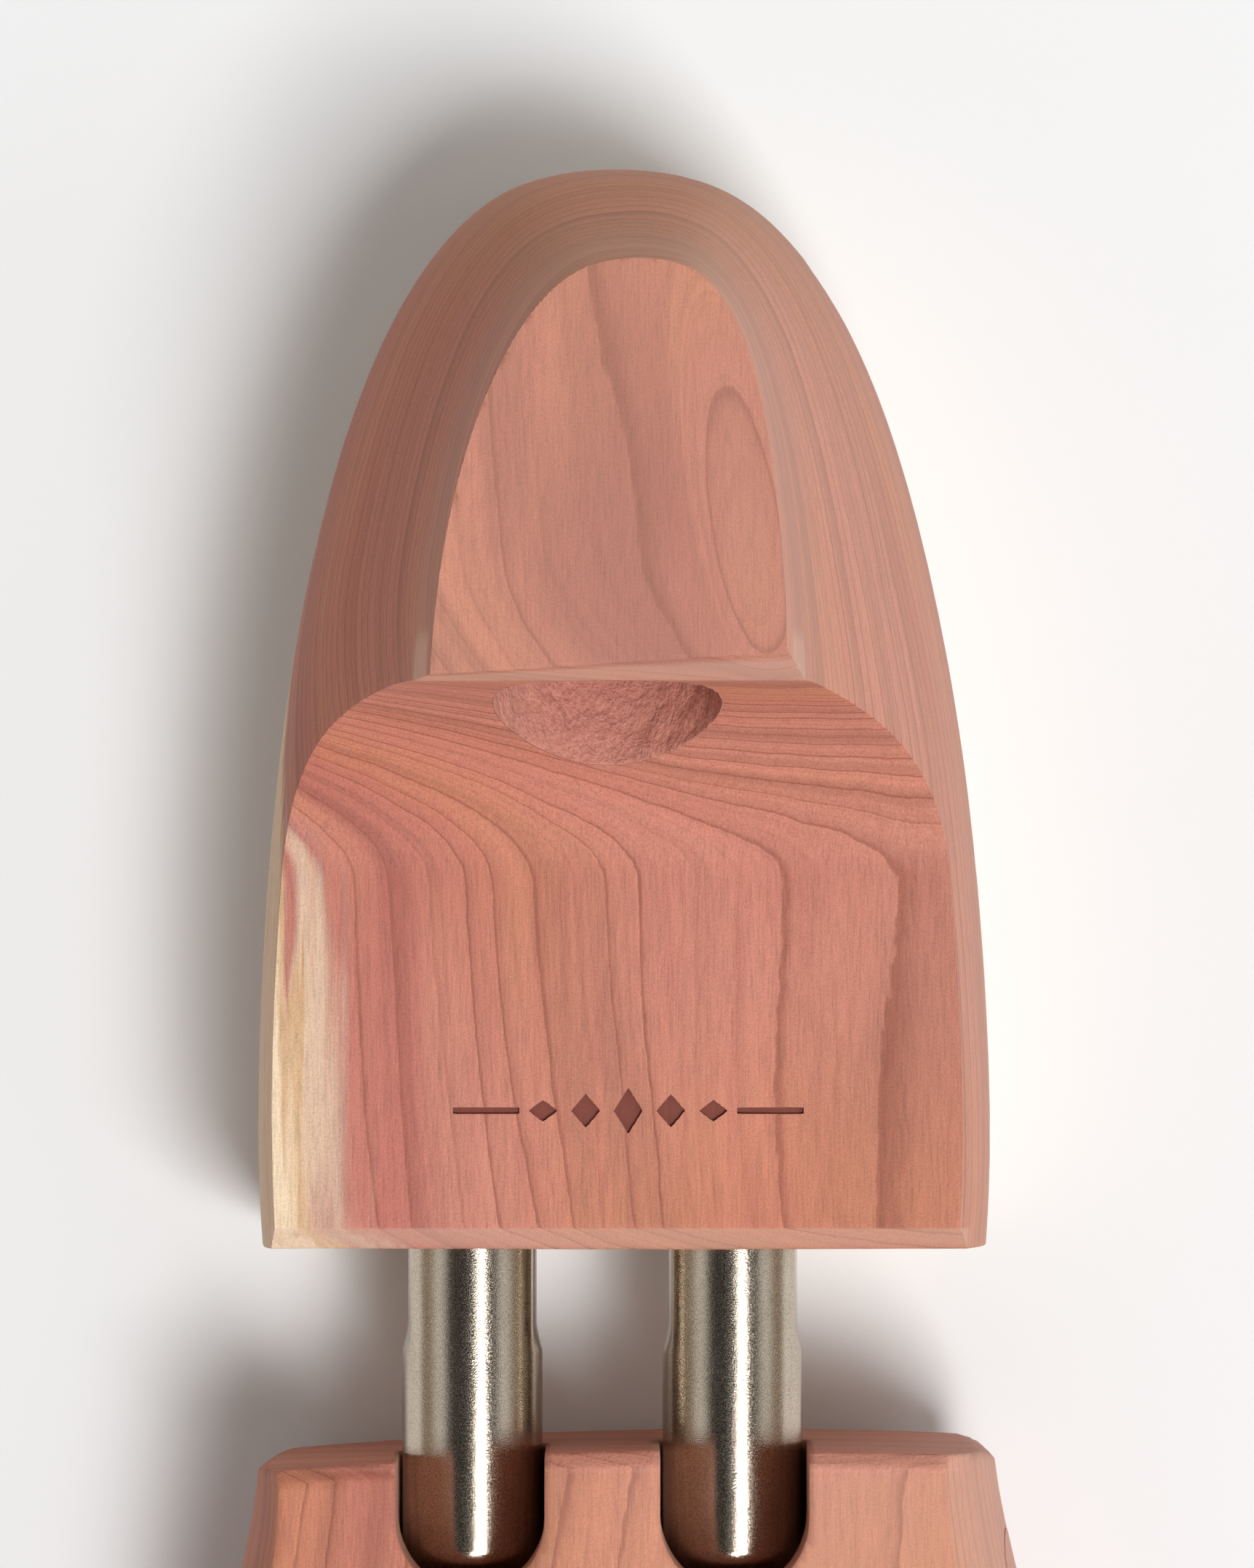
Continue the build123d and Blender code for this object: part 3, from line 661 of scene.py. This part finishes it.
def tube_piece(side):
    low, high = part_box(f"tube_{side}")
    front, rear = low[1] / MM - EYE_COVER, high[1] / MM
    centre_x, centre_z = (low[0] + high[0]) / 2 / MM, (low[2] + high[2]) / 2 / MM
    full_front, crimp_front = (HEEL_FACE + place for place in CRIMP_FRONT)
    full_rear = HEEL_FACE + CRIMP_REAR
    stations = [front]
    stations += list(np.arange(front + 2.0, full_front - 1.0, 2.0))
    stations += list(np.linspace(full_front - 0.4, crimp_front + 1.0, 16))
    stations += list(np.arange(crimp_front + 3.0, full_rear - 2.0, 2.0))
    stations += [full_rear - 1.0, full_rear, full_rear + 0.5, rear - TUBE_LIP, rear]
    mesh = bpy.data.meshes.new(f"tube_{side}")
    work = bmesh.new()
    shells = []
    for radius in (TUBE_RADIUS + OVERLAY, TUBE_RADIUS - TUBE_WALL):
        rows = []
        for y in stations:
            share = crimp_share(y, full_front, crimp_front, full_rear - 1.0, full_rear)
            edge = TUBE_LIP if y == rear and radius > TUBE_RADIUS else 0.0
            points = tube_ring(radius - edge, share)
            rows.append([
                work.verts.new(((centre_x + x) * MM, y * MM, (centre_z + z) * MM)) for x, z in points
            ])
        shells.append(rows)
    outer, inner = shells
    for rows, flip in ((outer, False), (inner, True)):
        for lower, upper in zip(rows, rows[1:]):
            for step in range(AROUND):
                after = (step + 1) % AROUND
                face = [lower[step], lower[after], upper[after], upper[step]]
                work.faces.new(face[::-1] if not flip else face)
    for index, flip in ((0, True), (-1, False)):
        for step in range(AROUND):
            after = (step + 1) % AROUND
            face = [outer[index][step], outer[index][after], inner[index][after], inner[index][step]]
            work.faces.new(face[::-1] if not flip else face)
    bmesh.ops.recalc_face_normals(work, faces=work.faces)
    work.to_mesh(mesh)
    work.free()
    mesh.polygons.foreach_set("use_smooth", [True] * len(mesh.polygons))
    piece = new_piece(f"plated_tube_{side}", mesh, "tubes", nickel)
    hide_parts(f"tube_{side}")
    return piece


for side in ("medial", "lateral"):
    tube_piece(side)


def spring_piece(node, body):
    """A copy of a CAD spring, attached to its body and shaded smooth."""
    piece = new_piece(f"coil_{node}", joined_mesh(node), body, spring_wire)
    piece.data.polygons.foreach_set("use_smooth", [True] * len(piece.data.polygons))
    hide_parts(node)
    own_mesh(piece)


for side in ("medial", "lateral"):
    spring_piece(f"heel_spring_{side}", "heel")
for station in ("rear", "front"):
    spring_piece(f"wing_spring_{station}", "wing")

# --------------------------------------------------------------------- metal CAD pieces
for name, node in frame["nodes"].items():
    if name.startswith(("rod_bush", "rod_insert")):
        node.data.materials[0] = brass
    elif name.startswith("tube_eye"):
        node.data.materials[0] = nickel
    elif name.startswith(("tube_cap", "spring_seat", "guide_rod")):
        node.data.materials[0] = steel
    elif name in ("retaining_pins", "pivot_pin"):
        node.data.materials[0] = steel

# ------------------------------------------------------------------------------- studio
scene = bpy.context.scene
scene.view_settings.view_transform = "Standard"
scene.view_settings.look = "None"

floor_mesh = bpy.data.meshes.new("floor")
FLOOR_HALF = 3.0
corners = [(x * FLOOR_HALF, y * FLOOR_HALF, 0.0) for x, y in ((-1, -1), (1, -1), (1, 1), (-1, 1))]
floor_mesh.from_pydata(corners, [], [(0, 1, 2, 3)])
floor = bpy.data.objects.new("floor", floor_mesh)
scene.collection.objects.link(floor)
paper = Graph("paper")
PAPER_TONES = (0.83, 0.83, 0.83, 1.0), (0.85, 0.85, 0.85, 1.0)
paper_tone = paper.mix(paper.noise(paper.position, scale=0.02), *PAPER_TONES)
floor_mesh.materials.append(paper.finish(Base_Color=paper_tone, Roughness=0.9, Specular_IOR_Level=0.1))

# The camera looks straight down from about 0.9 m, with the toe towards the lower edge.
CAMERA_HEIGHT = 0.925
VIEW_WIDTH = 0.1071         # width of the view at the height of the low flats
VIEW_LEVEL = 0.025
VIEW_CENTRE_X = 0.0021
VIEW_FROM_HEEL_FACE = 0.0394
view_x = VIEW_CENTRE_X
view_y = HEEL_FACE * MM + VIEW_FROM_HEEL_FACE
camera_data = bpy.data.cameras.new("camera")
camera = bpy.data.objects.new("camera", camera_data)
camera_data.sensor_fit = "HORIZONTAL"
camera_data.sensor_width = 36.0
camera_data.lens = camera_data.sensor_width * (CAMERA_HEIGHT - VIEW_LEVEL) / VIEW_WIDTH
camera_data.clip_end = 20.0
camera.location = (view_x, view_y, CAMERA_HEIGHT)
scene.collection.objects.link(camera)
scene.camera = camera


def area_light(name, position, target, size, power, colour):
    data = bpy.data.lights.new(name, "AREA")
    data.shape = "RECTANGLE"
    data.size, data.size_y = size
    data.energy = power
    data.color = colour
    light = bpy.data.objects.new(name, data)
    light.location = position
    direction = Vector(target) - Vector(position)
    light.rotation_euler = direction.to_track_quat("-Z", "Y").to_euler()
    scene.collection.objects.link(light)
    return light


KEY_HEIGHT = 2.6
KEY_RIGHT = math.radians(15.0)
KEY_TOEWARD = math.radians(17.5)
KEY_SIZE = (0.9, 0.9)
KEY_POWER = 62.0
KEY_COLOUR = (0.98, 0.99, 1.0)
SIDE_SIZE = (2.2, 2.2)
SIDE_POWER = 14.0
SIDE_COLOUR = (0.9, 0.96, 1.0)
target = (view_x, view_y, 0.03)
key_place = (
    view_x + KEY_HEIGHT * math.tan(KEY_RIGHT),
    view_y - KEY_HEIGHT * math.tan(KEY_TOEWARD),
    KEY_HEIGHT,
)
area_light("key", key_place, target, KEY_SIZE, KEY_POWER, KEY_COLOUR)
side_place = (view_x + 3.0, view_y - 0.7, 1.7)
side_light = area_light("side", side_place, target, SIDE_SIZE, SIDE_POWER, SIDE_COLOUR)
side_light.visible_glossy = False

world = bpy.data.worlds.new("studio")
scene.world = world
world.use_nodes = True
sky = world.node_tree
background = sky.nodes["Background"]
sky_coordinates = sky.nodes.new("ShaderNodeTexCoord")
sky_split = sky.nodes.new("ShaderNodeSeparateXYZ")
sky_ramp = sky.nodes.new("ShaderNodeValToRGB")
sky.links.new(sky_coordinates.outputs["Generated"], sky_split.inputs[0])
sky.links.new(sky_split.outputs[2], sky_ramp.inputs[0])
sky.links.new(sky_ramp.outputs[0], background.inputs[0])
# Height of the sky from the horizon to overhead, and its warm to neutral light there.
SKY = (
    (0.0, (0.38, 0.315, 0.25)),
    (0.3, (0.38, 0.325, 0.27)),
    (0.5, (0.79, 0.80, 0.80)),
    (0.66, (0.72, 0.73, 0.74)),
    (0.80, (0.09, 0.09, 0.09)),
    (1.0, (0.035, 0.035, 0.035)),
)
while len(sky_ramp.color_ramp.elements) < len(SKY):
    sky_ramp.color_ramp.elements.new(0.5)
for element, (position, light) in zip(sky_ramp.color_ramp.elements, SKY):
    element.position = position
    element.color = (*light, 1.0)
background.inputs[1].default_value = 1.0
